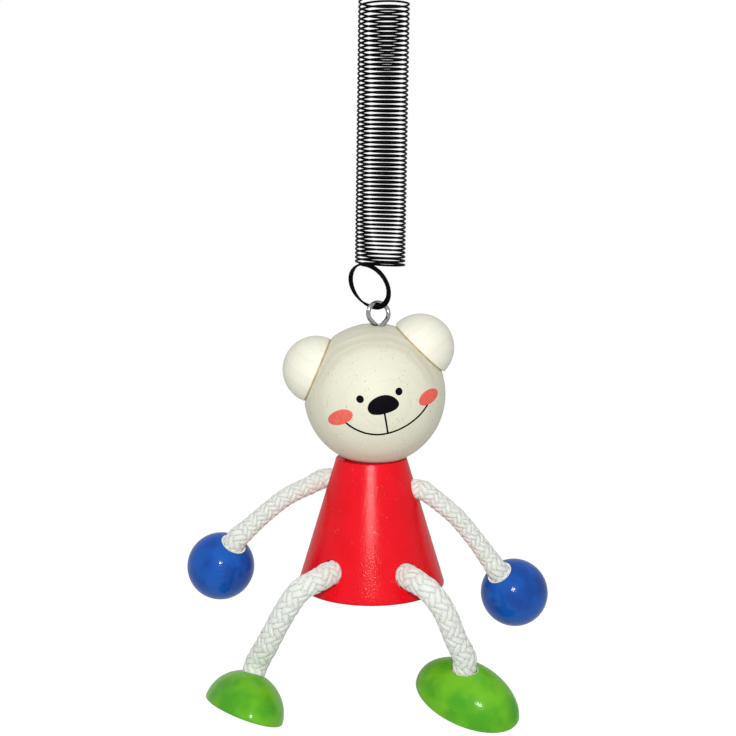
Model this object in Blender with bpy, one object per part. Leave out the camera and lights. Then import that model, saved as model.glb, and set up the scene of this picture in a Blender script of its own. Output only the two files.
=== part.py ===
# Wooden bear on a long wire spring: a hanging toy that bounces.
# Metres, +Z up. The origin is the point of the top loop that rests on a hook.
# X runs to the right as the face is looked at, and Y away from the viewer.

import math

import bmesh
import bpy
from mathutils import Matrix, Vector

# Spring, one wound wire with its end turns bent over as loops
WIRE = 0.0005
COIL_DIAMETER = 0.0119        # to the middle of the wire
COIL_TURNS = 59
COIL_PITCH = 0.00104847       # mean, stretched by the figure's weight
COIL_SAG = 0.07               # how much more the upper turns are stretched
COIL_STEPS = 8                # points in a turn
TOP_COIL_SIDE = 205.0         # where the wire leaves the coil, degrees from +X towards +Y
BOTTOM_COIL_SIDE = 245.8
LOOP_BEND = 70.5              # degrees that a loop is folded out of the coil
LOOP_TURNS = 2
LOOP_GAP = 0.00042            # between the wires of a loop
LOOP_STEPS = 24
TOP_LOOP_SIDE = 180.0         # way that a loop stands out, in the same degrees
BOTTOM_LOOP_SIDE = 229.0

# Screw eye
EYE_DIAMETER = 0.0061         # outside
EYE_WIRE = 0.00114
EYE_STAND = 0.00275           # middle of the ring above the wood
EYE_SHANK = 0.009             # length below the neck of the ring
EYE_BEND = 0.0005             # softening of the wire's bend at the neck
EYE_TIP = 0.0006              # the ring's free end past its arc
EYE_SWEEP = 0.6               # share of the ring before its end sweeps forward
EYE_SIDE = 0.0008             # ring's middle to the right of the pull
EYE_TURN = 22.0               # degrees that the ring is turned on its shank

# Head and ears
HEAD_DIAMETER = 0.035
HEAD_SIDE = -0.0007           # head's middle from the screw eye
HEAD_BACK = 0.0018
EAR_DIAMETER = 0.0167
EAR_ANGLES = {"left": 67.1, "right": -44.1}     # from straight up
EAR_CUTS = {"left": 0.0024, "right": 0.0019}    # depth of the flats on the head
EAR_STEP = 0.0005             # ear's middle beyond the flat
EAR_DOWEL_DIAMETER = 0.003
EAR_DOWEL_LENGTH = 0.009

# Body cone
CONE_BASE = 0.0371
CONE_TOP = 0.0176
CONE_HEIGHT = 0.0324
CONE_EDGE = 0.0007            # rounding of the rims
CONE_SIDE = -0.0008           # cone's axis from the head's middle
HEAD_SINK = 0.0015            # how deep the head sits in the cone's dish
NECK_DOWEL_DIAMETER = 0.006
NECK_DOWEL_LENGTH = 0.016
DOWEL_CHAMFER = 0.0004

# Limb cords and the bores that they are glued in
ARM_CORD = 0.0048
LEG_CORD = 0.0057
ARM_BORE_DEPTH = 0.0055
LEG_BORE_DEPTH = 0.008
SHOULDER_DROPS = {"left": 0.0060, "right": 0.0077}   # below the cone's top
SHOULDER_TURNS = {"left": 166.0, "right": -11.0}     # degrees round the cone
HIP_RISES = {"left": 0.0066, "right": 0.0062}        # above the cone's base
HIP_TURNS = {"left": 233.0, "right": 301.0}
CORD_STEP = 2.0               # points along a cord, in its diameters
CORD_LEAD = 0.001             # straight stretch outside each bore
CORD_HINGE = 0.32             # where a limb bends, as a share of its free cord

# Hands
HAND_DIAMETER = 0.0168
HAND_BORE = 0.007
HAND_AIMS = {"left": (0.46, -0.33, 0.82), "right": (-0.53, -0.36, 0.77)}

# Feet, halves of an egg
FOOT_LENGTH = 0.028
FOOT_WIDTH = 0.0186
FOOT_HEIGHT = 0.0094
FOOT_EDGE = 0.0007
FOOT_BORE = 0.006
FOOT_HEEL = 0.0016            # bore's middle behind the foot's middle
FOOT_TOES = {"left": (0.35, -0.92, 0.16), "right": (0.76, -0.61, -0.226)}
FOOT_UPS = {"left": (0.31, 0.27, 0.91), "right": (0.06, -0.29, 0.955)}

# Fits
GAP = 0.0003                  # between pieces that touch or are glued

# Cord routes from where each leaves the cone to where it enters the hand or foot
ARM_ROUTES = {
    "left": ((-0.0050, -0.0009, -0.0015), (-0.0109, -0.0026, -0.0041),
             (-0.0166, -0.0042, -0.0083), (-0.0202, -0.0048, -0.0115), (-0.0240, -0.0052, -0.0154)),
    "right": ((0.0046, -0.0006, -0.0021), (0.0103, -0.0015, -0.0068),
              (0.0155, -0.0020, -0.0131), (0.0181, -0.0020, -0.0168), (0.0209, -0.0018, -0.0207)),
}
LEG_ROUTES = {
    "left": ((-0.0031, -0.0041, -0.0005), (-0.0068, -0.0063, -0.0020),
             (-0.0109, -0.0059, -0.0080), (-0.0149, -0.0039, -0.0161), (-0.0185, -0.0022, -0.0239)),
    "right": ((0.0020, -0.0036, -0.0001), (0.0046, -0.0061, -0.0012),
              (0.0082, -0.0069, -0.0057), (0.0112, -0.0059, -0.0131), (0.0137, -0.0039, -0.0211)),
}

# Colours as seen, with roughness and metallic value
FINISHES = {
    "spring_wire": ((0.06, 0.06, 0.06), 0.45, 0.8),
    "nickel_wire": ((0.78, 0.78, 0.76), 0.25, 1.0),
    "beech": ((0.84, 0.80, 0.69), 0.55, 0.0),
    "dowel_wood": ((0.76, 0.66, 0.48), 0.70, 0.0),
    "red_paint": ((0.86, 0.10, 0.16), 0.35, 0.0),
    "blue_paint": ((0.12, 0.25, 0.60), 0.25, 0.0),
    "green_paint": ((0.36, 0.68, 0.20), 0.30, 0.0),
    "cotton": ((0.92, 0.93, 0.88), 0.90, 0.0),
}

UP = Vector((0, 0, 1))


# Materials
def finish(name):
    material = bpy.data.materials.get(name)
    if material:
        return material
    colour, roughness, metallic = FINISHES[name]
    material = bpy.data.materials.new(name)
    material.use_nodes = True
    shader = material.node_tree.nodes["Principled BSDF"]
    shader.inputs["Base Color"].default_value = [value ** 2.2 for value in colour] + [1.0]
    shader.inputs["Roughness"].default_value = roughness
    shader.inputs["Metallic"].default_value = metallic
    return material


# Directions
def around(degrees):
    return Vector((math.cos(math.radians(degrees)), math.sin(math.radians(degrees)), 0))


def over(degrees):
    # In the plane of the face, from straight up towards the left
    return Vector((-math.sin(math.radians(degrees)), 0, math.cos(math.radians(degrees))))


def aimed(direction, heading=(1, 0.01, 0)):
    # The turn that brings a piece's own +Z to the direction, and its +X near the heading
    up = Vector(direction).normalized()
    side = Vector(heading)
    side = (side - up * side.dot(up)).normalized()
    return Matrix((side, up.cross(side), up)).transposed().to_euler()


# Objects
def place(item, material, at=(0, 0, 0), turn=(0, 0, 0)):
    bpy.context.scene.collection.objects.link(item)
    item.location = at
    item.rotation_euler = turn
    item.data.materials.append(finish(material))
    return item


def pivot(name, at, parent=None):
    empty = bpy.data.objects.new(name, None)
    bpy.context.scene.collection.objects.link(empty)
    empty.location = at
    if parent:
        carry(parent, empty)
    return empty


def carry(parent, *pieces):
    # Parents the pieces and leaves them where they stand
    bpy.context.view_layer.update()
    for piece in pieces:
        piece.parent = parent
        piece.matrix_parent_inverse = parent.matrix_world.inverted()


def arc(radius, start, end, steps, middle=(0.0, 0.0)):
    # Points of an arc as (radius, height), with degrees up from level
    angles = [math.radians(start + (end - start) * i / steps) for i in range(steps + 1)]
    return [(middle[0] + radius * math.cos(a), middle[1] + radius * math.sin(a)) for a in angles]


def turned(name, profile, steps, material, at=(0, 0, 0), turn=(0, 0, 0), stretch=(1, 1, 1)):
    # A profile of (radius, height) points spun about Z, its ends on the axis
    shape = bmesh.new()
    points = [shape.verts.new((radius, 0, height)) for radius, height in profile]
    edges = [shape.edges.new(pair) for pair in zip(points, points[1:])]
    bmesh.ops.spin(shape, geom=points + edges, angle=math.tau, steps=steps, use_merge=True,
                   axis=UP, cent=(0, 0, 0))
    bmesh.ops.remove_doubles(shape, verts=shape.verts, dist=1e-6)
    bmesh.ops.scale(shape, vec=stretch, verts=shape.verts)
    bmesh.ops.recalc_face_normals(shape, faces=shape.faces)
    mesh = bpy.data.meshes.new(name)
    shape.to_mesh(mesh)
    shape.free()
    mesh.shade_smooth()
    mesh.set_sharp_from_angle(angle=math.radians(40))
    return place(bpy.data.objects.new(name, mesh), material, at, turn)


def tube(name, points, diameter, roundness, material):
    # A round wire or cord along the points, its ends closed flat
    start = points[0]
    curve = bpy.data.curves.new(name, "CURVE")
    curve.dimensions = "3D"
    curve.bevel_depth = diameter / 2
    curve.bevel_resolution = roundness
    curve.use_fill_caps = True
    spline = curve.splines.new("POLY")
    spline.points.add(len(points) - 1)
    for slot, point in zip(spline.points, points):
        slot.co = (*(point - start), 1)
    return place(bpy.data.objects.new(name, curve), material, start)


def drill(piece, profile, mouth, inward, steps=16):
    # Cuts a turned shape out of a piece; its heights run up from the mouth, against inward
    name = piece.name + "_cutter_" + str(len(piece.modifiers))
    cutter = turned(name, profile, steps, "dowel_wood", mouth, aimed(-inward))
    cutter.hide_render = True
    cutter.display_type = "WIRE"
    cut = piece.modifiers.new(name, "BOOLEAN")
    cut.operation = "DIFFERENCE"
    cut.object = cutter


def bore(piece, diameter, mouth, inward, depth, steps=16):
    # A blind round hole, a gap wider and deeper than what goes in
    radius = diameter / 2 + GAP
    floor = -depth - GAP
    above = diameter
    drill(piece, [(0, above), (radius, above), (radius, floor), (0, floor)], mouth, inward, steps)


# Lines
def length_of(points):
    return sum((b - a).length for a, b in zip(points, points[1:]))


def part_way(points, share):
    left = length_of(points) * share
    for a, b in zip(points, points[1:]):
        run = (b - a).length
        if left <= run:
            return a.lerp(b, left / run)
        left -= run
    return points[-1]


def even(points, step):
    # Points an even distance apart, near the step
    count = max(2, round(length_of(points) / step))
    return [part_way(points, i / count) for i in range(count + 1)]


def smooth(points, start_way, end_way):
    # A fine curve through the points that leaves and arrives along the given ways
    fine = []
    last = len(points) - 2
    for i, (a, b) in enumerate(zip(points, points[1:])):
        span = (b - a).length
        leave = start_way * span if i == 0 else (b - points[i - 1]).normalized() * span
        arrive = end_way * span if i == last else (points[i + 2] - a).normalized() * span
        for k in range(20):
            t = k / 20
            fine.append(a * (2 * t ** 3 - 3 * t ** 2 + 1) + leave * (t ** 3 - 2 * t ** 2 + t)
                        + b * (3 * t ** 2 - 2 * t ** 3) + arrive * (t ** 3 - t ** 2))
    return fine + [points[-1]]


def spacing(first, second, skip=0):
    # Least distance from one path's points to the other's runs; on one path, skips the neighbours
    least = math.inf
    for i, point in enumerate(first):
        for j, (a, b) in enumerate(zip(second, second[1:])):
            if -skip <= j - i < skip:
                continue
            run = b - a
            share = min(1.0, max(0.0, (point - a).dot(run) / run.length_squared))
            least = min(least, (point - a - run * share).length)
    return least


# Spring
def loop_path(foot, heading, side, lift):
    # End turns folded about the line of travel at the foot, each beside the last
    outward = around(side)
    fold = math.radians(LOOP_BEND)
    inner = -outward * math.cos(fold) + lift * math.sin(fold)
    beside = outward * math.sin(fold) + lift * math.cos(fold)
    open_steps = 3
    points = []
    for i in range(LOOP_STEPS * LOOP_TURNS - open_steps + 1):
        share = i / LOOP_STEPS
        angle = math.tau * share
        bow = inner * (1 - math.cos(angle)) + heading * math.sin(angle)
        points.append(foot + bow * COIL_DIAMETER / 2 + beside * (WIRE + LOOP_GAP) * share)
    leave = (points[-1] - points[-2]).normalized()
    return [foot - heading * WIRE] + points + [points[-1] + leave * WIRE]


def loop_reach(path, lift):
    # Where the middle of the loop's end turns bears
    turns = [path[i * LOOP_STEPS:(i + 1) * LOOP_STEPS + 1] for i in range(LOOP_TURNS)]
    tips = [max(points, key=lift.dot) for points in turns]
    return sum(tips, Vector()) / len(tips)


def spring_paths():
    # Top loop, coil and bottom loop, with the pull straight down through the origin
    radius = COIL_DIAMETER / 2
    sweep = 360 * (COIL_TURNS - 1) + (TOP_COIL_SIDE - BOTTOM_COIL_SIDE) % 360
    top_heading = around(TOP_LOOP_SIDE + 90)
    bottom_heading = -around(BOTTOM_LOOP_SIDE + 90)
    joint = 2 * WIRE + GAP
    top_foot = around(TOP_COIL_SIDE) * radius + top_heading * joint
    bottom_foot = around(BOTTOM_COIL_SIDE) * radius + bottom_heading * joint
    top = loop_path(top_foot, top_heading, TOP_LOOP_SIDE, UP)
    bottom = loop_path(bottom_foot, bottom_heading, BOTTOM_LOOP_SIDE, -UP)
    top_middle = UP * WIRE / 2 - loop_reach(top, UP)
    bottom_middle = -loop_reach(bottom, -UP)
    bottom_middle.z = top_middle.z - COIL_PITCH * sweep / 360
    steps = round(sweep / 360 * COIL_STEPS)
    coil = [top_middle + around(TOP_COIL_SIDE) * radius + around(TOP_COIL_SIDE + 90) * WIRE]
    for i in range(steps + 1):
        share = i / steps
        middle = top_middle.lerp(bottom_middle, share + COIL_SAG * share * (1 - share))
        coil.append(middle + around(TOP_COIL_SIDE - sweep * share) * radius)
    coil.append(coil[-1] - around(BOTTOM_COIL_SIDE + 90) * WIRE)
    return [point + top_middle for point in top], coil, [point + bottom_middle for point in bottom]


def make_spring():
    top, coil, bottom = spring_paths()
    few_turns = coil[:COIL_STEPS * 5]
    for name, path, steps in (("top_loop", top, LOOP_STEPS), ("spring_coil", few_turns, COIL_STEPS),
                              ("bottom_loop", bottom, LOOP_STEPS)):
        gap = spacing(path, path, steps // 2) - WIRE
        print(name, "least gap to itself, mm:", round(gap * 1000, 3))
    top_loop = tube("top_loop", top, WIRE, 1, "spring_wire")
    spring_coil = tube("spring_coil", coil, WIRE, 1, "spring_wire")
    bottom_loop = tube("bottom_loop", bottom, WIRE, 1, "spring_wire")
    print("top_loop joins the coil at", tuple(round(value, 5) for value in coil[0]))
    return top_loop, spring_coil, bottom_loop, coil[0], bottom


# Screw eye
def eye_radius():
    return (EYE_DIAMETER - EYE_WIRE) / 2


def eye_neck():
    # Where the two 45 degree strands of the ring meet, below its middle
    return -UP * eye_radius() * math.sqrt(2)


def eye_path():
    # Up the shank, round the ring and down in front of the neck
    neck = eye_neck()
    path = [neck - UP * EYE_SHANK, neck - UP * EYE_BEND, neck + over(45) * EYE_BEND]
    steps = 20
    path += [over(135 - 270 * i / steps) * eye_radius() for i in range(steps + 1)]
    path.append(path[-1] + over(135) * EYE_TIP)
    count = len(path) - 1
    for i, point in enumerate(path):
        point.y = -(EYE_WIRE + GAP) * max(0.0, i / count - EYE_SWEEP) / (1 - EYE_SWEEP)
    return [Matrix.Rotation(math.radians(EYE_TURN), 3, UP) @ point for point in path]


def hang_eye(loop):
    # As low as the ring goes before it all but touches the loop's wires
    low = loop_reach(loop, -UP)
    clear = (WIRE + EYE_WIRE) / 2 + GAP
    inside = [point for point in loop if (point - low).length < EYE_DIAMETER]
    tries = 100
    best, middle = -math.inf, low
    for i in range(tries):
        at = low + Vector((EYE_SIDE, 0, -eye_radius() * (1 - i / tries)))
        ring = [point + at for point in eye_path()[2:]]
        room = min(spacing(ring, inside), spacing(inside, ring))
        if room > best:
            best, middle = room, at
        if best >= clear:
            break
    print("screw_eye gap to the loop, mm:", round((best - clear + GAP) * 1000, 3))
    return low, middle


# Wooden pieces
def make_head(middle, eye_middle):
    # A ball with the neck's blind bore from below
    radius = HEAD_DIAMETER / 2
    neck = NECK_DOWEL_DIAMETER / 2 + GAP
    edge = math.degrees(math.acos(neck / radius))
    neck_end = NECK_DOWEL_LENGTH / 2 + GAP - radius
    profile = arc(radius, 90, -edge, 16) + [(neck, neck_end), (0, neck_end)]
    head = turned("head", profile, 36, "beech", middle)
    hole = EAR_DOWEL_DIAMETER / 2 + GAP
    hole_end = -EAR_DOWEL_LENGTH / 2 - GAP
    flat = [(0, radius), (radius, radius), (radius, 0), (hole, 0), (hole, hole_end), (0, hole_end)]
    for side, angle in EAR_ANGLES.items():
        drill(head, flat, middle + over(angle) * (radius - EAR_CUTS[side]), -over(angle), 24)
    shank = EYE_WIRE / 2 + GAP
    sink = shank * math.sqrt(2)
    shank_end = -EYE_SHANK - GAP
    wide = EYE_DIAMETER
    countersink = [(0, wide - sink), (wide, wide - sink), (shank, shank - sink), (shank, shank_end)]
    drill(head, countersink + [(0, shank_end)], eye_middle + eye_neck(), -UP, 20)
    return head


def make_dowel(name, diameter, length, middle, along):
    radius = diameter / 2
    half = length / 2
    profile = [(0, half), (radius - DOWEL_CHAMFER, half), (radius, half - DOWEL_CHAMFER)]
    profile += [(radius, DOWEL_CHAMFER - half), (radius - DOWEL_CHAMFER, -half), (0, -half)]
    return turned(name, profile, 14, "dowel_wood", middle, aimed(along))


def make_ear(side, head_middle):
    # A ball cut off near its middle, with a blind bore from its flat
    out = over(EAR_ANGLES[side])
    seat = head_middle + out * (HEAD_DIAMETER / 2 - EAR_CUTS[side])
    radius = EAR_DIAMETER / 2
    flat = GAP - EAR_STEP
    hole = EAR_DOWEL_DIAMETER / 2 + GAP
    hole_end = flat + EAR_DOWEL_LENGTH / 2
    cut = math.degrees(math.asin(flat / radius))
    profile = arc(radius, 90, cut, 8) + [(hole, flat), (hole, hole_end), (0, hole_end)]
    ear = turned("ear_" + side, profile, 28, "beech", seat + out * EAR_STEP, aimed(out))
    middle = seat + out * GAP / 2
    dowel = make_dowel("ear_dowel_" + side, EAR_DOWEL_DIAMETER, EAR_DOWEL_LENGTH - GAP, middle, out)
    return ear, dowel


def cone_lean():
    # Angle of the cone's side from upright
    return math.atan((CONE_BASE - CONE_TOP) / 2 / CONE_HEIGHT)


def cone_radius(below_top):
    return CONE_TOP / 2 + math.tan(cone_lean()) * below_top


def make_cone(top, head_middle, neck_middle):
    # Built from its top face down; the dish follows the head's ball
    lean = math.degrees(cone_lean())
    inset = CONE_EDGE / math.cos(cone_lean())
    upper = (cone_radius(CONE_EDGE) - inset, -CONE_EDGE)
    lower = (cone_radius(CONE_HEIGHT - CONE_EDGE) - inset, CONE_EDGE - CONE_HEIGHT)
    profile = [(0, 0)] + arc(CONE_EDGE, 90, lean, 3, upper)
    profile += arc(CONE_EDGE, lean, -90, 4, lower) + [(0, -CONE_HEIGHT)]
    cone = turned("body_cone", profile, 48, "red_paint", top)
    drill(cone, arc(HEAD_DIAMETER / 2 + GAP, 90, -90, 18), head_middle, -UP, 36)
    bore(cone, NECK_DOWEL_DIAMETER, neck_middle, -UP, NECK_DOWEL_LENGTH / 2, 20)
    return cone


def make_hand(side, mouth):
    # A ball with a blind bore, its mouth at the cord's way in
    radius = HAND_DIAMETER / 2
    hole = ARM_CORD / 2 + GAP
    edge = math.degrees(math.acos(hole / radius))
    height = math.sqrt(radius ** 2 - hole ** 2)
    hole_end = height - HAND_BORE - GAP
    profile = arc(radius, -90, edge, 13) + [(hole, hole_end), (0, hole_end)]
    aim = Vector(HAND_AIMS[side]).normalized()
    return turned("hand_" + side, profile, 26, "blue_paint", mouth - aim * height, aimed(aim)), aim


def make_foot(side, mouth):
    # Half an egg, flat on its sole, drilled square to the sole
    toe = Vector(FOOT_TOES[side]).normalized()
    up = Vector(FOOT_UPS[side])
    up = (up - toe * up.dot(toe)).normalized()
    mouth_height = FOOT_HEIGHT * math.sqrt(1 - (2 * FOOT_HEEL / FOOT_LENGTH) ** 2)
    middle = mouth + toe * FOOT_HEEL - up * mouth_height
    edge_height = FOOT_EDGE / FOOT_HEIGHT
    rim = arc(1, 90, math.degrees(math.asin(edge_height)), 10)
    profile = rim + [(rim[-1][0] - 2 * FOOT_EDGE / FOOT_WIDTH, 0), (0, 0)]
    stretch = (FOOT_LENGTH / 2, FOOT_WIDTH / 2, FOOT_HEIGHT)
    foot = turned("foot_" + side, profile, 32, "green_paint", middle, aimed(up, toe), stretch)
    bore(foot, LEG_CORD, mouth, -up, FOOT_BORE)
    return foot, up


# Limbs
def make_limb_cord(name, diameter, mouth, outward, depth, route, far_way, far_depth):
    # Straight in both bores and a little beyond them, and smooth between
    far_mouth = mouth + Vector(route[-1])
    points = [mouth + outward * CORD_LEAD] + [mouth + Vector(offset) for offset in route[:-1]]
    points.append(far_mouth - far_way * CORD_LEAD)
    fine = smooth(points, outward, far_way)
    path = [mouth - outward * depth] + even(fine, diameter * CORD_STEP)
    path.append(far_mouth + far_way * far_depth)
    print(name, "length, mm:", round(length_of(path) * 1000, 1))
    return tube(name, path, diameter, 4, "cotton"), part_way(fine, CORD_HINGE)


def make_arm(side, cone, cone_top):
    outward = around(SHOULDER_TURNS[side])
    drop = SHOULDER_DROPS[side]
    route = ARM_ROUTES[side]
    mouth = cone_top - UP * drop + outward * cone_radius(drop)
    bore(cone, ARM_CORD, mouth, -outward, ARM_BORE_DEPTH)
    hand, up = make_hand(side, mouth + Vector(route[-1]))
    cord, hinge = make_limb_cord("arm_cord_" + side, ARM_CORD, mouth, outward, ARM_BORE_DEPTH,
                                 route, -up, HAND_BORE)
    return cord, hand, hinge


def make_leg(side, cone, cone_top):
    outward = around(HIP_TURNS[side])
    drop = CONE_HEIGHT - HIP_RISES[side]
    route = LEG_ROUTES[side]
    mouth = cone_top - UP * drop + outward * cone_radius(drop)
    bore(cone, LEG_CORD, mouth, -outward, LEG_BORE_DEPTH)
    foot, up = make_foot(side, mouth + Vector(route[-1]))
    cord, hinge = make_limb_cord("leg_cord_" + side, LEG_CORD, mouth, outward, LEG_BORE_DEPTH,
                                 route, -up, FOOT_BORE)
    return cord, foot, hinge


# Assembly, from the hook down
def main():
    for item in list(bpy.data.objects):
        bpy.data.objects.remove(item)

    top_loop, spring_coil, bottom_loop, coil_start, loop = make_spring()
    # The spring sways about its first turn, on the line of the pull
    sway = pivot("sway_pivot", UP * coil_start.z)
    carry(sway, spring_coil)
    bounce = pivot("bounce_pivot", loop[0], sway)
    carry(bounce, bottom_loop)

    pull, eye_middle = hang_eye(loop)
    eye = tube("screw_eye", [point + eye_middle for point in eye_path()], EYE_WIRE, 2, "nickel_wire")
    head_drop = EYE_STAND + HEAD_DIAMETER / 2
    head_middle = eye_middle + Vector((HEAD_SIDE, HEAD_BACK, -head_drop))
    neck_middle = head_middle - UP * HEAD_DIAMETER / 2
    cone_top = neck_middle + Vector((CONE_SIDE, 0, HEAD_SINK))
    head = make_head(head_middle, eye_middle)
    ears = [piece for side in EAR_ANGLES for piece in make_ear(side, head_middle)]
    neck = make_dowel("neck_dowel", NECK_DOWEL_DIAMETER, NECK_DOWEL_LENGTH, neck_middle, UP)
    cone = make_cone(cone_top, head_middle, neck_middle)
    swing = pivot("swing_pivot", pull, bounce)
    carry(swing, eye, head, neck, cone, *ears)

    for joint_name, make_limb in (("shoulder_pivot_", make_arm), ("hip_pivot_", make_leg)):
        for side in ("left", "right"):
            cord, end, hinge = make_limb(side, cone, cone_top)
            carry(pivot(joint_name + side, hinge, swing), cord, end)


main()
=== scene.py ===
# Wooden bear on a long wire spring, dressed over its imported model
# Metres, +Z up. X runs to the right as the face is looked at, Y away from the viewer.
import random
from math import acos, asin, atan, cos, degrees, pi, radians, sin, sqrt, tan

import bmesh
import bpy
import numpy as np
from mathutils import Matrix, Vector


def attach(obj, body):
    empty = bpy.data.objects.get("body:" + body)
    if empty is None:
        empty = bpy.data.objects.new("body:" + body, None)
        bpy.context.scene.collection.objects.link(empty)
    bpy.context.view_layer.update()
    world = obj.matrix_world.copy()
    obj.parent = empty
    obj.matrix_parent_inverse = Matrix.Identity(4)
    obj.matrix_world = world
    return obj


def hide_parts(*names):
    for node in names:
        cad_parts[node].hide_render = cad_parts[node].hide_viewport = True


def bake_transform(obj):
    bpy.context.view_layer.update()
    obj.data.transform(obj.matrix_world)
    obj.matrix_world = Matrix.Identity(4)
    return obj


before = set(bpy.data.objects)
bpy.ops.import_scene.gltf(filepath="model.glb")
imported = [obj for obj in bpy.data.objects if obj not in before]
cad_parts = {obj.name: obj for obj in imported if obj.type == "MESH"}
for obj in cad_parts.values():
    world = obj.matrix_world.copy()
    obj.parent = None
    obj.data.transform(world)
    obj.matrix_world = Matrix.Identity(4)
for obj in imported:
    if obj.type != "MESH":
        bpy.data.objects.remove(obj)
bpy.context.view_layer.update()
mm = 0.001
up = Vector((0, 0, 1))
upright = Matrix.Identity(3)
white = (1, 1, 1, 1)
print("frame loaded:", len(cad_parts), "solids")


def addToScene(made):
    bpy.context.scene.collection.objects.link(made)


# Camera, at the height of the coil's lower half and tipped a little down
cameraSet = {"place": (-0.00155, -0.2912, -0.0579), "tipped": 82.0, "lens": 58.696, "sensor": 36.0}


def makeCamera():
    lens = bpy.data.cameras.new("camera")
    lens.lens = cameraSet["lens"]
    lens.sensor_width = cameraSet["sensor"]
    lens.clip_start = 0.01
    lens.clip_end = 20
    camera = bpy.data.objects.new("camera", lens)
    camera.location = cameraSet["place"]
    camera.rotation_euler = (radians(cameraSet["tipped"]), 0, 0)
    addToScene(camera)
    bpy.context.scene.camera = camera
    bpy.context.scene.view_settings.view_transform = "Standard"


makeCamera()


# Directions and lines
def around(angle):
    return Vector((cos(radians(angle)), sin(radians(angle)), 0))


def over(angle):
    # in the plane of the face, from straight up towards the left
    return Vector((-sin(radians(angle)), 0, cos(radians(angle))))


def aimed(direction, heading=(1, 0.01, 0)):
    # the turn that brings a piece's own +Z to the direction, and its +X near the heading
    high = Vector(direction).normalized()
    side = Vector(heading)
    side = (side - high * side.dot(high)).normalized()
    return Matrix((side, high.cross(side), high)).transposed()


def stepsOf(points):
    return [(b - a).length for a, b in zip(points, points[1:])]


def lengthOf(points):
    return sum(stepsOf(points))


def evenPoints(points, count):
    # the same line in that many even steps
    runs = np.cumsum([0.0] + stepsOf(points))
    wanted = np.linspace(0.0, runs[-1], count + 1)
    table = np.array([tuple(point) for point in points])
    columns = [np.interp(wanted, runs, table[:, i]) for i in range(3)]
    return [Vector(row) for row in np.stack(columns, axis=1)]


def smoothLine(points, startWay, endWay):
    # a fine curve through the points that leaves and arrives along the given ways
    fine = []
    last = len(points) - 2
    for i, (a, b) in enumerate(zip(points, points[1:])):
        span = (b - a).length
        leave = startWay * span if i == 0 else (b - points[i - 1]).normalized() * span
        arrive = endWay * span if i == last else (points[i + 2] - a).normalized() * span
        for k in range(20):
            t = k / 20
            fine.append(a * (2 * t ** 3 - 3 * t ** 2 + 1) + leave * (t ** 3 - 2 * t ** 2 + t)
                        + b * (3 * t ** 2 - 2 * t ** 3) + arrive * (t ** 3 - t ** 2))
    return fine + [points[-1]]


def arc(radius, start, end, steps, middle=(0.0, 0.0)):
    angles = [radians(start + (end - start) * i / steps) for i in range(steps + 1)]
    return [(middle[0] + radius * cos(a), middle[1] + radius * sin(a)) for a in angles]


# Mesh stores: points, faces, one UV pair for each corner, and a finish number for each face
def newStore():
    return {"points": [], "faces": [], "uvs": [], "finishes": []}


def addSections(store, centres, across, outward, sides):
    # a skin over sections that stand along the centres, closed at both ends
    centres, across, outward = (np.asarray(part, float) for part in (centres, across, outward))
    turn = np.arange(sides) * 2 * pi / sides
    rings = (centres[:, None] + np.cos(turn)[None, :, None] * across[:, None]
             + np.sin(turn)[None, :, None] * outward[:, None])
    first = len(store["points"])
    store["points"].extend(map(tuple, rings.reshape(-1, 3)))
    runs = np.concatenate([[0.0], np.cumsum(np.linalg.norm(np.diff(centres, axis=0), axis=1))]) / mm
    last = len(centres) - 1
    for i in range(last):
        for k in range(sides):
            after = (k + 1) % sides
            store["faces"].append((first + i * sides + k, first + i * sides + after,
                                   first + (i + 1) * sides + after, first + (i + 1) * sides + k))
            low, high = k / sides, (k + 1) / sides
            store["uvs"] += [(runs[i], low), (runs[i], high), (runs[i + 1], high), (runs[i + 1], low)]
    for row, order in ((0, range(sides - 1, -1, -1)), (last, range(sides))):
        store["faces"].append(tuple(first + row * sides + k for k in order))
        store["uvs"] += [(runs[row], 0.25)] * sides
    store["finishes"] += [0] * (last * sides + 2)


def unit(rows):
    return rows / np.linalg.norm(rows, axis=1)[:, None]


def framesAlong(points):
    # the points, and two ways across the line that turn as little as they can
    table = np.array([tuple(point) for point in points])
    tangents = unit(np.gradient(table, axis=0))
    side = np.cross(tangents[0], (0.3, 0.9, 0.2))
    sides = []
    for tangent in tangents:
        side = side - tangent * side.dot(tangent)
        side /= np.linalg.norm(side)
        sides.append(side)
    sides = np.array(sides)
    return table, sides, np.cross(tangents, sides)


wireEnd = {"reach": 0.3, "width": 0.72}  # shares of the wire's radius


def addTube(store, points, radius, sides):
    # a round wire with slightly rounded ends
    back = (points[0] - points[1]).normalized()
    ahead = (points[-1] - points[-2]).normalized()
    reach = radius * wireEnd["reach"]
    line = [points[0] + back * reach] + list(points) + [points[-1] + ahead * reach]
    table, sideWays, otherWays = framesAlong(line)
    thick = np.full(len(line), radius)
    thick[0] = thick[-1] = radius * wireEnd["width"]
    addSections(store, table, sideWays * thick[:, None], otherWays * thick[:, None], sides)


def smooth(mesh, crease):
    mesh.shade_smooth()
    mesh.set_sharp_from_angle(angle=radians(crease))


def makePiece(name, store, finishes, crease=40):
    mesh = bpy.data.meshes.new(name)
    mesh.from_pydata(store["points"], [], store["faces"])
    if store["uvs"]:
        layer = mesh.uv_layers.new(name="UVMap")
        layer.data.foreach_set("uv", np.array(store["uvs"], dtype=np.float32).ravel())
    for finish in finishes:
        mesh.materials.append(finish)
    mesh.polygons.foreach_set("material_index", store["finishes"])
    mesh.validate()
    smooth(mesh, crease)
    piece = bpy.data.objects.new(name, mesh)
    addToScene(piece)
    return piece


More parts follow.
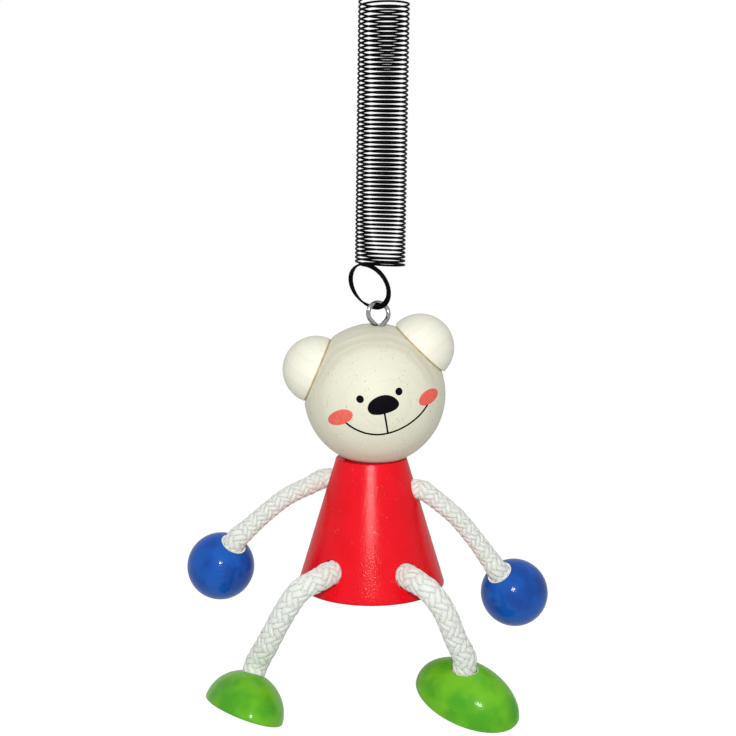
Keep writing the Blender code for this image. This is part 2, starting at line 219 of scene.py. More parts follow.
def faceOutwards(piece, ahead=None):
    # a film that isn't closed gets the side that looks ahead
    shape = bmesh.new()
    shape.from_mesh(piece.data)
    if not ahead:
        bmesh.ops.remove_doubles(shape, verts=shape.verts, dist=1e-7)
    bmesh.ops.recalc_face_normals(shape, faces=shape.faces)
    if ahead and sum(face.normal.dot(ahead) for face in shape.faces) < 0:
        bmesh.ops.reverse_faces(shape, faces=shape.faces)
    shape.to_mesh(piece.data)
    shape.free()


def turnedPiece(name, profile, steps, finishes, at, turn=upright, stretch=(1, 1, 1), inner=(), crease=40):
    # a profile of (radius, height) points spun about its own Z; inner lists the runs in the second finish
    store = newStore()
    rows = []
    place = Vector(at)
    for radius, height in profile:
        count = steps if radius > 1e-7 else 1
        row = []
        for k in range(count):
            way = around(360 * k / steps) * radius
            local = Vector((way.x * stretch[0], way.y * stretch[1], height * stretch[2]))
            row.append(len(store["points"]))
            store["points"].append(tuple(place + turn @ local))
        rows.append(row)
    for i, (upper, lower) in enumerate(zip(rows, rows[1:])):
        for k in range(steps):
            after = (k + 1) % steps
            if len(upper) == 1:
                face = (upper[0], lower[k], lower[after])
            elif len(lower) == 1:
                face = (upper[k], lower[0], upper[after])
            else:
                face = (upper[k], lower[k], lower[after], upper[after])
            store["faces"].append(face)
            store["finishes"].append(1 if i in inner else 0)
    piece = makePiece(name, store, finishes, crease)
    faceOutwards(piece)
    return piece


def cutAway(piece, cutters, crease=30):
    # Booleans applied to the mesh, with the cutters' own finishes left on the cut faces
    for cutter in cutters:
        for finish in cutter.data.materials:
            if finish.name not in piece.data.materials:
                piece.data.materials.append(finish)
        cut = piece.modifiers.new(cutter.name, "BOOLEAN")
        cut.operation = "DIFFERENCE"
        cut.solver = "EXACT"
        cut.material_mode = "TRANSFER"
        cut.object = cutter
    graph = bpy.context.evaluated_depsgraph_get()
    mesh = bpy.data.meshes.new_from_object(piece.evaluated_get(graph))
    piece.modifiers.clear()
    piece.data = mesh
    smooth(mesh, crease)
    for cutter in cutters:
        bpy.data.objects.remove(cutter)


# Materials
def tone(red, green, blue):
    # a colour as seen on screen, 0 to 255, in the shader's own scale
    parts = [value / 255 for value in (red, green, blue)]
    return (*(part / 12.92 if part <= 0.04045 else ((part + 0.055) / 1.055) ** 2.4 for part in parts), 1.0)


def setInputs(tree, made, inputs):
    for key, value in inputs.items():
        if isinstance(value, bpy.types.NodeSocket):
            tree.links.new(value, made.inputs[key])
        else:
            made.inputs[key].default_value = value


def node(tree, kind, inputs=None, **settings):
    made = tree.nodes.new("ShaderNode" + kind)
    for key, value in settings.items():
        setattr(made, key, value)
    setInputs(tree, made, inputs or {})
    return made


def calc(tree, operation, first, second=0.0, third=0.0):
    return node(tree, "Math", {0: first, 1: second, 2: third}, operation=operation).outputs[0]


def product(tree, first, second):
    return calc(tree, "MULTIPLY", first, second)


def fade(tree, value, low, high, least=0.0, most=1.0):
    # the value's stretch from low to high, spread smoothly over least to most
    made = node(tree, "MapRange", {"Value": value, "From Min": low, "From Max": high, "To Min": least,
                                   "To Max": most}, interpolation_type="SMOOTHSTEP")
    return made.outputs[0]


def mixTones(tree, factor, first, second):
    return node(tree, "Mix", {0: factor, 6: first, 7: second}, data_type="RGBA").outputs[2]


def stretched(tree, vector, scale):
    return node(tree, "VectorMath", {0: vector, 1: scale}, operation="MULTIPLY").outputs[0]


def noise(tree, vector, scale, detail=2.0, roughness=0.5, distortion=0.0):
    settings = {"Vector": vector, "Scale": scale, "Detail": detail, "Roughness": roughness,
                "Distortion": distortion}
    return node(tree, "TexNoise", settings).outputs["Fac"]


def ownPlace(tree, middle=(0, 0, 0), turn=upright):
    # a place on the piece in millimetres from its middle, with the grain along its own Z
    settings = {"Vector": node(tree, "TexCoord").outputs["Object"], "Location": middle,
                "Rotation": turn.to_euler(), "Scale": (mm, mm, mm)}
    return node(tree, "Mapping", settings, vector_type="TEXTURE").outputs[0]


def bump(tree, height, depth, strength=1.0):
    return node(tree, "Bump", {"Height": height, "Distance": depth * mm, "Strength": strength}).outputs[0]


def setLook(tree, shader, look, colour, skin, more=None):
    setInputs(tree, shader, {"Base Color": colour, "Roughness": look["roughness"],
                             "Specular IOR Level": look["gloss"], "Normal": skin, **(more or {})})


def newFinish(name):
    finish = bpy.data.materials.new(name)
    finish.use_nodes = True
    tree = finish.node_tree
    return finish, tree, tree.nodes["Principled BSDF"]


woodLooks = {
    "natural": {"pale": tone(229, 229, 208), "tan": tone(208, 192, 166), "fleck": tone(150, 124, 92),
                "ringShare": 0.14, "fleckShare": 0.6, "roughness": 0.5, "gloss": 0.25},
    "ears": {"pale": tone(243, 243, 227), "tan": tone(232, 222, 196), "fleck": tone(190, 160, 118),
             "ringShare": 0.35, "fleckShare": 0.4, "roughness": 0.5, "gloss": 0.25},
    "dowel": {"pale": tone(226, 200, 156), "tan": tone(196, 160, 112), "fleck": tone(140, 104, 66),
              "ringShare": 0.8, "fleckShare": 0.6, "roughness": 0.7, "gloss": 0.2},
    "bare": {"pale": tone(238, 236, 222), "tan": tone(214, 205, 178), "fleck": tone(180, 160, 120),
             "ringShare": 0.4, "fleckShare": 0.3, "roughness": 0.8, "gloss": 0.2},
    "white": {"pale": tone(250, 250, 244), "tan": tone(236, 234, 222), "fleck": tone(206, 200, 182),
              "ringShare": 0.3, "fleckShare": 0.2, "roughness": 0.8, "gloss": 0.2},
    "glue": {"pale": tone(206, 180, 134), "tan": tone(176, 146, 100), "fleck": tone(120, 94, 62),
             "ringShare": 0.8, "fleckShare": 0.3, "roughness": 0.4, "gloss": 0.4},
}
# growth rings behind the pale front of the head: depth in mm from the ball's middle, and how tan
headRings = ((-12.2, -10.9, -10.1, 0.24), (-10.7, -9.6, -7.6, 0.34), (-7.8, -6.6, -4.6, 0.16))


def woodFinish(name, look, middle, grain=up, heart=(-6.0, 58.0, 0.0), ringStep=2.6, rings=()):
    # pale close-grained wood: growth arcs about a far heart, fine fibres and short dark rays
    finish, tree, shader = newFinish(name)
    place = ownPlace(tree, middle, aimed(grain))
    drift = noise(tree, place, 0.12, 2.0)
    away = node(tree, "VectorMath", {0: place, 1: heart}, operation="SUBTRACT").outputs[0]
    level = stretched(tree, away, (1.0, 1.0, 0.05))
    ring = node(tree, "VectorMath", {0: level}, operation="LENGTH").outputs["Value"]
    ring = calc(tree, "ADD", ring, product(tree, drift, 3.0))
    bands = node(tree, "TexNoise", {"W": calc(tree, "DIVIDE", ring, ringStep), "Scale": 1.0, "Detail": 3.0,
                                    "Roughness": 0.65}, noise_dimensions="1D").outputs["Fac"]
    colour = mixTones(tree, fade(tree, bands, 0.42, 0.66, 0.0, look["ringShare"]), look["pale"], look["tan"])
    if rings:
        split = node(tree, "SeparateXYZ", {0: place})
        depth = calc(tree, "MULTIPLY_ADD", calc(tree, "SUBTRACT", drift, 0.5), 3.0, split.outputs[1])
        high = fade(tree, split.outputs[2], -1.0, 8.0, 0.2, 1.0)
        for first, most, last, share in rings:
            dimmed = fade(tree, depth, most, last, share, 0.0)
            shown = product(tree, fade(tree, depth, first, most), dimmed)
            colour = mixTones(tree, product(tree, shown, high), colour, tone(186, 174, 148))
    fibres = noise(tree, stretched(tree, place, (5.0, 5.0, 0.22)), 1.0, 3.0, 0.6)
    colour = mixTones(tree, fade(tree, fibres, 0.45, 0.8, 0.0, 0.3), colour, look["tan"])
    rays = noise(tree, stretched(tree, place, (3.2, 3.2, 0.7)), 1.0, 1.0, 0.5)
    patches = noise(tree, place, 0.25, 1.0)
    shown = product(tree, fade(tree, rays, 0.66, 0.74), fade(tree, patches, 0.42, 0.6, 0.25, 1.0))
    colour = mixTones(tree, product(tree, shown, look["fleckShare"]), colour, look["fleck"])
    height = calc(tree, "SUBTRACT", fibres, shown)
    setLook(tree, shader, look, colour, bump(tree, height, 0.03, 0.6))
    return finish


paintLooks = {
    "red": {"colour": tone(236, 8, 30), "deep": tone(230, 4, 22), "worn": tone(246, 150, 150),
            "wornShare": 0.5, "roughness": 0.6, "gloss": 0.02, "coat": 0.3, "coatRoughness": 0.17,
            "pores": (2.1, 2.1, 1.9), "poreDepth": 0.07},
    "blue": {"colour": tone(20, 90, 184), "deep": tone(16, 68, 156), "worn": tone(88, 132, 204),
             "wornShare": 0.35, "roughness": 0.4, "gloss": 0.03, "coat": 0.28, "coatRoughness": 0.08,
             "pores": (1.4, 1.4, 0.9), "poreDepth": 0.04},
    "green": {"colour": tone(112, 190, 38), "deep": tone(78, 166, 34), "worn": tone(178, 206, 92),
              "wornShare": 0.5, "roughness": 0.4, "gloss": 0.03, "coat": 0.2, "coatRoughness": 0.13,
              "pores": (1.6, 0.5, 1.6), "poreDepth": 0.04},
}


def paintFinish(name, look, middle, turn=upright):
    # thin gloss paint on wood: the grain's pores stand through it, and it is rubbed in places
    finish, tree, shader = newFinish(name)
    place = ownPlace(tree, middle, turn)
    cloud = noise(tree, place, 0.16, 2.0)
    colour = mixTones(tree, fade(tree, cloud, 0.35, 0.7), look["colour"], look["deep"])
    grain = noise(tree, stretched(tree, place, look["pores"]), 1.0, 3.0, 0.6)
    rubbed = noise(tree, place, 0.3, 2.0, 0.6)
    scratch = noise(tree, stretched(tree, place, (0.5, 6.0, 0.9)), 1.0, 1.0, 0.5, 1.5)
    marks = product(tree, fade(tree, scratch, 0.68, 0.74), fade(tree, rubbed, 0.5, 0.62))
    colour = mixTones(tree, product(tree, marks, look["wornShare"]), colour, look["worn"])
    skin = bump(tree, grain, look["poreDepth"])
    setLook(tree, shader, look, colour, skin, {"Coat Weight": look["coat"], "Coat Normal": skin,
                                               "Coat Roughness": look["coatRoughness"]})
    return finish


# paintedShadeTone is a painted shade, drawn on the sides of the strands and in the grooves between the yarns
cottonLook = {"white": tone(250, 255, 242), "paintedShadeTone": tone(240, 246, 232), "soiled": tone(234, 238, 216),
              "yarns": 5.0, "twist": 0.9, "roughness": 0.95, "gloss": 0.15, "sheen": 0.3, "soft": 0.5,
              "softReach": (0.6, 0.55, 0.5)}


def cottonFinish():
    # bleached cotton: v goes round a strand, with the side that shows at a quarter
    finish, tree, shader = newFinish("whiteCotton")
    coords = node(tree, "TexCoord")
    split = node(tree, "SeparateXYZ", {0: coords.outputs["UV"]})
    along, turn = split.outputs[0], split.outputs[1]
    # painted shade: the sides of each strand, away from its top, and the grooves between its yarns are mixed
    # towards a darker tone
    top = calc(tree, "ABSOLUTE", calc(tree, "SUBTRACT", turn, 0.25))
    strandSideShadeMask = fade(tree, top, 0.08, 0.28)
    phase = calc(tree, "ADD", product(tree, turn, cottonLook["yarns"] * 4 * pi),
                 product(tree, along, cottonLook["twist"] * 2 * pi))
    yarn = calc(tree, "MULTIPLY_ADD", calc(tree, "SINE", phase), 0.5, 0.5)
    place = ownPlace(tree)
    fuzz = noise(tree, place, 5.0, 3.0, 0.7)
    soiled = noise(tree, place, 0.35, 2.0)
    shade = product(tree, fade(tree, yarn, 0.0, 0.5, 0.3, 0.0), fade(tree, fuzz, 0.3, 0.7))
    paintedCreviceShade = product(tree, strandSideShadeMask, fade(tree, fuzz, 0.3, 0.7, 0.5, 0.15))
    shade = calc(tree, "MAXIMUM", shade, paintedCreviceShade)
    colour = mixTones(tree, shade, cottonLook["white"], cottonLook["paintedShadeTone"])
    colour = mixTones(tree, fade(tree, soiled, 0.5, 0.8, 0.0, 0.2), colour, cottonLook["soiled"])
    height = calc(tree, "ADD", yarn, product(tree, fuzz, 0.8))
    setLook(tree, shader, cottonLook, colour, bump(tree, height, 0.07, 0.9),
            {"Sheen Weight": cottonLook["sheen"], "Subsurface Weight": cottonLook["soft"],
             "Subsurface Radius": cottonLook["softReach"], "Subsurface Scale": mm})
    return finish


metalLooks = {
    "blackWire": {"colour": tone(4, 4, 5), "spot": tone(14, 14, 15), "roughness": (0.4, 0.55),
                  "metallic": 0.0, "gloss": 0.03},
    # the nickel's grey tone and its dark spots are a painted dark reflection of the surroundings
    "nickel": {"colour": tone(150, 150, 150), "spot": tone(26, 26, 28), "roughness": (0.08, 0.16),
               "metallic": 1.0, "gloss": 0.5},
}


def metalFinish(name):
    look = metalLooks[name]
    finish, tree, shader = newFinish(name)
    place = ownPlace(tree)
    spots = noise(tree, place, 2.4, 3.0, 0.6)
    drawn = noise(tree, stretched(tree, place, (6.0, 6.0, 1.2)), 1.0, 2.0)
    # the spots mixed in here are a painted dark reflection on the nickel, and a faint mottle on the black
    # wire
    colour = mixTones(tree, fade(tree, spots, 0.5, 0.75, 0.0, 0.7), look["colour"], look["spot"])
    setLook(tree, shader, look, colour, bump(tree, drawn, 0.01, 0.5),
            {"Metallic": look["metallic"], "Roughness": fade(tree, spots, 0.3, 0.7, *look["roughness"])})
    return finish


printLooks = {
    "blackPrint": {"colour": tone(9, 5, 12), "thin": tone(24, 18, 32),
                   "roughness": 0.34, "gloss": 0.04},
    "redPrint": {"colour": tone(238, 104, 92), "thin": tone(242, 138, 122),
                 "roughness": 0.45, "gloss": 0.04},
}


def printFinish(name):
    # a thin pad print, with the grain just showing in it
    look = printLooks[name]
    finish, tree, shader = newFinish(name)
    place = ownPlace(tree)
    film = noise(tree, stretched(tree, place, (3.0, 3.0, 0.8)), 1.0, 2.0)
    colour = mixTones(tree, fade(tree, film, 0.45, 0.75, 0.0, 0.6), look["colour"], look["thin"])
    setLook(tree, shader, look, colour, bump(tree, film, 0.02, 0.6))
    return finish


cotton = cottonFinish()
blackWire = metalFinish("blackWire")
nickel = metalFinish("nickel")
blackPrint = printFinish("blackPrint")
redPrint = printFinish("redPrint")
print("shared finishes made")


# Body cone and the places that hang from it, in millimetres; the same sizes as in the solids
cone = {"top": (-0.7, 1.8, -121.509), "base": 37.1, "topWidth": 17.6, "height": 32.4, "edge": 0.7,
        "topEdge": 0.25, "armBore": 5.5, "legBore": 8.0, "gap": 0.3, "dishGap": 0.12, "paintMiddle": 16.0}
coneLean = atan((cone["base"] - cone["topWidth"]) / 2 / cone["height"])


def coneRadius(below):
    return cone["topWidth"] / 2 + tan(coneLean) * below


def onCone(angle, below):
    return Vector(cone["top"]) - up * below + around(angle) * coneRadius(below)


# Limb cords: where each leaves the cone, its route to the mouth of its hand or foot, and its width along it
armSizes = {"diameter": 4.8, "bore": cone["armBore"], "farBore": 7.0, "frayed": 0}
legSizes = {"diameter": 5.7, "bore": cone["legBore"], "farBore": 6.0, "frayed": 0}
cords = {
    "armCordLeft": {
        **armSizes, "body": "arm_left", "node": "arm_cord_left", "angle": 166.0, "below": 6.0,
        "handOut": (0.46, -0.33, 0.82),
        "route": ((-5.0, -0.9, -1.5), (-10.9, -2.6, -4.1), (-16.6, -4.2, -8.3), (-20.2, -4.8, -11.5),
                  (-24.0, -5.2, -15.4)),
        "widths": ((0, 4.7), (4.5, 5.3), (7.0, 5.2), (11, 4.7), (26, 4.6), (31, 5.0), (34.4, 5.9),
                   (35.6, 5.3), (42, 4.8))},
    "armCordRight": {
        **armSizes, "body": "arm_right", "node": "arm_cord_right", "angle": -11.0, "below": 7.7,
        "handOut": (-0.53, -0.36, 0.77),
        "route": ((4.6, -0.6, -2.1), (10.3, -1.5, -6.8), (15.5, -2.0, -13.1), (18.1, -2.0, -16.8),
                  (20.9, -1.8, -20.7)),
        "widths": ((0, 4.7), (4.5, 5.3), (7.0, 5.1), (11, 4.7), (26, 4.6), (32, 5.0), (35.3, 5.6),
                   (36.4, 5.2), (42, 4.8))},
    "legCordLeft": {
        **legSizes, "body": "leg_left", "node": "leg_cord_left", "angle": 233.0, "below": 25.8,
        "footUp": (0.31, 0.27, 0.91), "toe": (0.35, -0.92, 0.16),
        "route": ((-3.1, -4.1, -0.5), (-6.8, -6.3, -2.0), (-10.9, -5.9, -8.0), (-14.9, -3.9, -16.1),
                  (-18.5, -2.2, -23.9)),
        "widths": ((0, 5.5), (7.0, 6.1), (9.5, 6.0), (14, 5.7), (30, 5.6), (41, 5.9), (43, 5.9), (48, 5.5))},
    "legCordRight": {
        **legSizes, "body": "leg_right", "node": "leg_cord_right", "angle": 301.0, "below": 26.2,
        "footUp": (0.06, -0.29, 0.955), "toe": (0.76, -0.61, -0.226), "frayed": 60,
        "route": ((2.0, -3.6, -0.1), (4.6, -6.1, -1.2), (8.2, -6.9, -5.7), (11.2, -5.9, -13.1),
                  (13.7, -3.9, -21.1)),
        "widths": ((0, 5.5), (7.0, 6.1), (9.5, 6.1), (14, 5.7), (30, 5.6), (37, 5.9), (39, 5.9), (44, 5.5))},
}
cordLook = {"lead": 1.0, "carriers": 8, "braidAngle": 40.0, "strandHeight": 0.62, "weave": 0.17,
            "core": 0.96, "step": 0.3, "fibres": 420,
            "hairs": {"long": (0.5, 1.3), "lean": (-1, 1), "lift": (0.25, 0.5)},
            "frays": {"long": (0.6, 1.5), "lean": (-1.2, -0.2), "lift": (0.4, 0.8)}}


def footAxes(limb):
    toe = Vector(limb["toe"]).normalized()
    high = Vector(limb["footUp"])
    return toe, (high - toe * high.dot(toe)).normalized()


for limb in cords.values():
    limb["mouth"] = onCone(limb["angle"], limb["below"])
    limb["farMouth"] = limb["mouth"] + Vector(limb["route"][-1])
    limb["way"] = around(limb["angle"])
    limb["farWay"] = -(footAxes(limb)[1] if "toe" in limb else Vector(limb["handOut"]).normalized())


def cordLine(limb):
    # the cord's middle, from the bottom of one bore to the bottom of the other
    mouth, way, farWay = limb["mouth"], limb["way"], limb["farWay"]
    farMouth = limb["farMouth"]
    points = [mouth + way * cordLook["lead"]] + [mouth + Vector(offset) for offset in limb["route"][:-1]]
    points.append(farMouth - farWay * cordLook["lead"])
    line = [mouth - way * limb["bore"], mouth] + smoothLine(points, way, farWay)
    line += [farMouth, farMouth + farWay * limb["farBore"]]
    return [point * mm for point in line]


def addBraid(store, line, limb, rng):
    # strands wound both ways, each over two and under two of the others
    count = round(lengthOf(line) / mm / cordLook["step"])
    table, sides, others = framesAlong(evenPoints(line, count))
    along = np.linspace(0.0, lengthOf(line) / mm, count + 1)
    places, widths = zip(*limb["widths"])
    outer = np.interp(along, places, widths) / 2
    outer = np.convolve(np.pad(outer, 6, mode="edge"), np.ones(13) / 13, mode="valid")
    weave, high = cordLook["weave"], cordLook["strandHeight"] / 2
    middle = outer - weave - high
    carriers = cordLook["carriers"]
    usual = limb["diameter"] / 2 - weave - high
    rate = tan(radians(cordLook["braidAngle"])) / usual
    wide = 2 * pi * middle / carriers * cos(radians(cordLook["braidAngle"])) / 2 * 1.02
    for way in (1, -1):
        for k in range(carriers):
            wander = 0.03 * np.sin(along * rng.uniform(0.3, 0.6) + rng.uniform(0, 6))
            angle = way * along * rate + 2 * pi * (k / carriers) + wander
            lift = way * np.tanh(1.6 * np.cos(carriers / 2 * rate * along - pi / 4)) / np.tanh(1.6)
            radial = np.cos(angle)[:, None] * sides + np.sin(angle)[:, None] * others
            reach = (middle + weave * lift)[:, None] * mm
            centres = table + radial * reach
            run = unit(np.gradient(centres, axis=0))
            radial = unit(radial - run * np.sum(radial * run, axis=1)[:, None])
            across = np.cross(radial, run)
            thick = 1 + 0.05 * np.sin(along * 1.7 + rng.uniform(0, 6))
            addSections(store, centres, across * (wide * thick)[:, None] * mm,
                        radial * (high * thick)[:, None] * mm, 8)
    core = middle * cordLook["core"] * mm
    addSections(store, table, sides * core[:, None], others * core[:, None], 16)
    return table, sides, others, outer


def addFibres(store, table, sides, others, outer, limb, rng):
    # short loose hairs, and longer ones where the end is frayed
    last = len(table) - 1
    spanStart = round(limb["bore"] / cordLook["step"]) + 2
    spanEnd = last - round(limb["farBore"] / cordLook["step"]) - 2
    for i in range(cordLook["fibres"] + limb["frayed"]):
        frayed = i >= cordLook["fibres"]
        at = spanStart - rng.randint(0, 3) if frayed else rng.randint(spanStart, spanEnd)
        angle = rng.uniform(0, 2 * pi)
        out = Vector(cos(angle) * sides[at] + sin(angle) * others[at])
        ahead = Vector(table[min(at + 1, last)] - table[at]).normalized()
        turn = out.cross(ahead)
        start = Vector(table[at]) + out * (outer[at] - 0.15) * mm
        look = cordLook["frays" if frayed else "hairs"]
        long = rng.uniform(*look["long"])
        lean = rng.uniform(*look["lean"])
        side = rng.uniform(-1, 1)
        lift = rng.uniform(*look["lift"])
        points = []
        for k in range(5):
            t = k / 4
            reach = ahead * lean * t + turn * side * t * t + out * lift * (t - 0.4 * t * t)
            points.append(start + reach * long * mm)
        line, sideWays, otherWays = framesAlong(points)
        thin = np.linspace(0.018, 0.008, 5)[:, None] * mm
        addSections(store, line, sideWays * thin, otherWays * thin, 3)


def makeCord(name, limb):
    rng = random.Random(name)
    line = cordLine(limb)
    store = newStore()
    table, sides, others, outer = addBraid(store, line, limb, rng)
    addFibres(store, table, sides, others, outer, limb, rng)
    piece = makePiece(name, store, [cotton], 60)
    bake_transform(piece)
    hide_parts(limb["node"])
    print(name, "length, mm:", round(lengthOf(line) / mm, 1))


for name, limb in cords.items():
    makeCord(name, limb)


# Spring: one wound wire, its end turns bent over as loops and pressed together
spring = {"wire": 0.5, "coil": 11.9, "turns": 59, "sag": 0.07, "fold": 70.5, "loopTurns": 3.0,
          "loopPitch": 0.51, "loopTaper": 0.57, "topSide": 180.0, "bottomSide": 229.0,
          "topEnd": 205.0, "bottomEnd": 245.8,
          "topMiddle": (2.2875, 3.8146, -11.275), "bottomMiddle": (1.383, 2.2311, -73.8321), "straight": 1.3,
          "steps": 32, "cuts": (6, 8, 12, 22, 43, 53, 57),
          "tilts": ((0, 0.0), (3, 3.6), (18, 4.6), (37, 8.3), (47, 9.7), (56, 9.8), (58.8867, 7.5)),
          "sideTilts": ((0, 0.0), (40, 1.2), (58.8867, 2.4))}
coilTurns = spring["turns"] - 1 + (spring["topEnd"] - spring["bottomEnd"]) % 360 / 360


def coilMiddle(turn):
    # the upper turns are stretched a little more, by the weight of those below
    share = turn / coilTurns
    share += spring["sag"] * share * (1 - share)
    return Vector(spring["topMiddle"]).lerp(Vector(spring["bottomMiddle"]), share)


def coilPoint(turn):
    # the off-centre pull of the loops lifts the front of each turn, and lowers its right side
    way = around(spring["topEnd"] - 360 * turn)
    tilt, sideTilt = (radians(np.interp(turn, *zip(*spring[key]))) for key in ("tilts", "sideTilts"))
    lift = -way.y * tan(tilt) - way.x * tan(sideTilt)
    return coilMiddle(turn) + (way + up * lift) * spring["coil"] / 2


def coilPoints(firstTurn, lastTurn):
    count = round((lastTurn - firstTurn) * spring["steps"])
    return [coilPoint(firstTurn + (lastTurn - firstTurn) * i / count) * mm for i in range(count + 1)]


def loopPoints(start, end, side, way, lift):
    # from the coil's last point on to the foot of the loop, and then round in a plane of its own
    outward = around(side)
    heading = around(side + 90) * way
    fold = radians(spring["fold"])
    inner = -outward * cos(fold) + lift * sin(fold)
    beside = outward * sin(fold) + lift * cos(fold)
    half = spring["coil"] / 2
    straight = spring["straight"]
    foot = start + heading * straight
    bends = (start, start + around(end + 90) * way * straight / 3, foot - heading * straight / 3, foot)
    points = []
    for i in range(6):
        t = i / 6
        shares = ((1 - t) ** 3, 3 * t * (1 - t) ** 2, 3 * t * t * (1 - t), t ** 3)
        points.append(sum((bend * share for bend, share in zip(bends, shares)), Vector()))
    count = round(spring["loopTurns"] * spring["steps"])
    for i in range(count + 1):
        share = i / spring["steps"]
        angle = 2 * pi * share
        # each turn is pulled a little shorter than the one before it
        drawn = spring["loopTaper"] * max(0.0, share - 0.5) * (1 - cos(angle)) / 2
        points.append(foot + (inner * (1 - cos(angle)) + heading * sin(angle)) * half
                      + beside * spring["loopPitch"] * share - lift * drawn)
    return [point * mm for point in points]


def makeSpring():
    radius = spring["wire"] / 2 * mm
    cuts = spring["cuts"] + (coilTurns,)
    lengths = {f"lowerCoil{i + 1}": turns for i, turns in enumerate(zip(cuts, cuts[1:]))}
    lines = {
        "topLoop": loopPoints(coilPoint(0), spring["topEnd"], spring["topSide"], 1, up),
        "upperCoil": coilPoints(0, cuts[0]),
        "bottomLoop": loopPoints(coilPoint(coilTurns), spring["bottomEnd"], spring["bottomSide"], -1, -up),
    }
    lines.update((name, coilPoints(*turns)) for name, turns in lengths.items())
    pieces = {}
    for name, line in lines.items():
        store = newStore()
        addTube(store, line, radius, 10)
        pieces[name] = makePiece(name, store, [blackWire])
    high, low = coilPoint(cuts[0]).z, coilPoint(coilTurns).z
    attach(pieces["topLoop"], "hook_end")
    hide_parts("top_loop")
    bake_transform(pieces["upperCoil"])
    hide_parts("spring_coil")
    # the lower lengths are baked where they were wound, and the coil's solid stays hidden
    for name, turns in lengths.items():
        heights = [coilPoint(turn).z for turn in turns]
        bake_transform(pieces[name])
        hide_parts("spring_coil")
    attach(pieces["bottomLoop"], "spring_end")
    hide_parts("bottom_loop")
    print("spring wound:", spring["turns"], "turns")


makeSpring()


# Screw eye
eye = {"middle": (0.8, 0.0, -85.259), "outside": 6.1, "wire": 1.14, "shank": 9.0, "bend": 0.5, "tip": 2.2,
       "sweep": 0.6, "turned": 22.0, "gap": 0.3}


def makeScrewEye():
    ring = (eye["outside"] - eye["wire"]) / 2
    neck = -up * ring * sqrt(2)
    line = [(0, neck - up * eye["shank"]), (1, neck - up * eye["bend"]), (2, neck + over(45) * eye["bend"])]
    line += [(3 + j / 4, over(135 - 270 * j / 80) * ring) for j in range(81)]
    line.append((24, line[-1][1] + over(135) * eye["tip"]))
    points = []
    for count, point in line:
        forward = -(eye["wire"] + eye["gap"]) * max(0.0, count / 24 - eye["sweep"]) / (1 - eye["sweep"])
        point = Vector((point.x, forward, point.z))
        points.append((Vector(eye["middle"]) + Matrix.Rotation(radians(eye["turned"]), 3, "Z") @ point) * mm)
    # the bend at the neck, rounded through its three points
    a, b = points[1], points[2]
    bendMiddle = (Vector(eye["middle"]) + neck) * mm
    rounded = [a.lerp(bendMiddle, t).lerp(bendMiddle.lerp(b, t), t) for t in (0, 0.25, 0.5, 0.75, 1)]
    line = evenPoints([points[0], a], 12)[:-1] + rounded + points[3:]
    store = newStore()
    addTube(store, line, eye["wire"] / 2 * mm, 20)
    piece = makePiece("screwEye", store, [nickel])
    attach(piece, "figure")
    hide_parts("screw_eye")
    print("screw eye bent")


makeScrewEye()


# Head and ears
head = {"middle": (0.1, 1.8, -105.509), "diameter": 35.0, "neckDowel": 6.0, "neckDepth": 8.0, "steps": 160,
        "earDiameter": 16.7, "earAngles": {"left": 67.1, "right": -44.1},
        "earCuts": {"left": 2.4, "right": 1.9}, "earStep": 0.5, "earDowel": 3.0, "earDowelDepth": 4.5,
        "earEdge": 0.35, "gap": 0.3, "glueRadii": {"left": 8.1, "right": 7.7}, "glueWidth": 2.0}


headMiddle = Vector(head["middle"])


def scaled(profile):
    return [(radius * mm, height * mm) for radius, height in profile]


def makeHead():
    radius = head["diameter"] / 2
    middle = headMiddle * mm
    wood = woodFinish("headBeech", woodLooks["natural"], middle, rings=headRings)
    bare = woodFinish("cutBeech", woodLooks["bare"], middle)
    woodFinish("whiteBeech", woodLooks["white"], middle)  # for the rims of the hands' bores
    neck = head["neckDowel"] / 2 + head["gap"]
    edge = degrees(acos(neck / radius))
    neckEnd = head["neckDepth"] + head["gap"] - radius
    profile = scaled(arc(radius, 90, -edge, 90) + [(neck, neckEnd), (0, neckEnd)])
    ball = turnedPiece("headBall", profile, head["steps"], [wood, bare], middle, inner=(90, 91))
    hole = head["earDowel"] / 2 + head["gap"]
    holeEnd = -head["earDowelDepth"] - head["gap"]
    flat = scaled([(0, radius), (radius, radius), (radius, 0), (hole, 0), (hole, holeEnd), (0, holeEnd)])
    cutters = []
    for side, angle in head["earAngles"].items():
        at = (headMiddle + over(angle) * (radius - head["earCuts"][side])) * mm
        cutters.append(turnedPiece("earFlat" + side, flat, 96, [wood], at, aimed(over(angle))))
    shank = eye["wire"] / 2 + head["gap"]
    ring = (eye["outside"] - eye["wire"]) / 2
    sink = shank * sqrt(2)
    wide = eye["outside"]
    low = -eye["shank"] - eye["gap"]
    pilot = scaled([(0, wide - sink), (wide, wide - sink), (shank, shank - sink), (shank, low), (0, low)])
    at = (Vector(eye["middle"]) - up * ring * sqrt(2)) * mm
    cutters.append(turnedPiece("eyePilot", pilot, 48, [bare], at))
    cutAway(ball, cutters)
    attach(ball, "figure")
    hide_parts("head")
    print("head turned")


